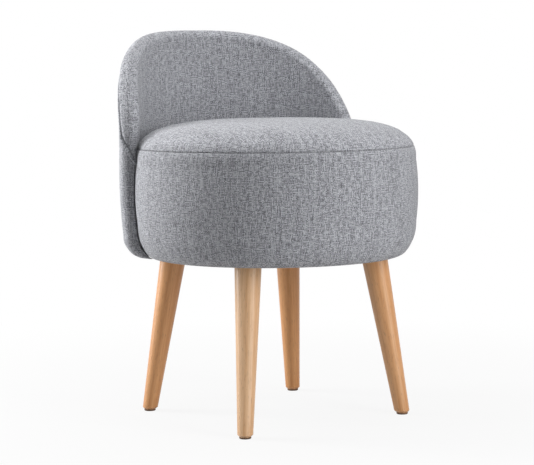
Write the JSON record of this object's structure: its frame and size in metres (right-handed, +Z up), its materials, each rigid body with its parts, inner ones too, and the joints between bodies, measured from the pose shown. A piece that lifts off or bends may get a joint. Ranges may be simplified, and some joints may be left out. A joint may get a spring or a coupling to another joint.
{
  "type": "low-back upholstered stool",
  "caption": "Round padded drum stool with a low back that wraps its rear half, covered in grey woven cloth, on splayed tapered wooden legs.",
  "frame": {"origin": "middle of the footprint box, on the floor under the foot glides", "axes": "+Z up, -Y the way the sitter faces, +X to the right as seen from the front"},
  "size_m": [0.4274, 0.4401, 0.575],
  "materials": {
    "linen": "grey melange plain weave",
    "beech": "clear satin lacquer",
    "plywood": "raw",
    "softwood": "raw",
    "hardboard": "raw",
    "foam": "open cell foam",
    "webbing": "woven elastic strap",
    "dust_cloth": "non-woven",
    "steel": "zinc plated",
    "glide_plastic": "dark moulded"
  },
  "bodies": {
    "root": {"back_bolts": "steel", "back_inner_cover": "linen", "back_inner_foam": "foam", "back_outer_cover": "linen", "back_outer_foam": "foam", "back_piping": "linen", "back_shell": "plywood", "back_tee_nuts": "steel", "back_washers": "steel", "bottom_staples": "steel", "dust_cover": "dust_cloth", "foot_glide_front_left": "glide_plastic", "foot_glide_front_right": "glide_plastic", "foot_glide_rear_left": "glide_plastic", "foot_glide_rear_right": "glide_plastic", "frame_screws": "steel", "glide_nails": "steel", "hanger_bolts": "steel", "leg_block_front_left": "beech", "leg_block_front_right": "beech", "leg_block_rear_left": "beech", "leg_block_rear_right": "beech", "leg_front_left": "beech", "leg_front_right": "beech", "leg_inserts": "steel", "leg_rear_left": "beech", "leg_rear_right": "beech", "seat_base_board": "plywood", "seat_foam": "foam", "seat_post_left_front": "softwood", "seat_post_left_rear": "softwood", "seat_post_rear": "softwood", "seat_post_right_front": "softwood", "seat_post_right_rear": "softwood", "seat_side_cover": "linen", "seat_side_foam": "foam", "seat_top_cover": "linen", "seat_top_ring": "plywood", "seat_wall": "hardboard", "webbing_crosswise": "webbing", "webbing_lengthwise": "webbing"}
  },
  "joints": []
}
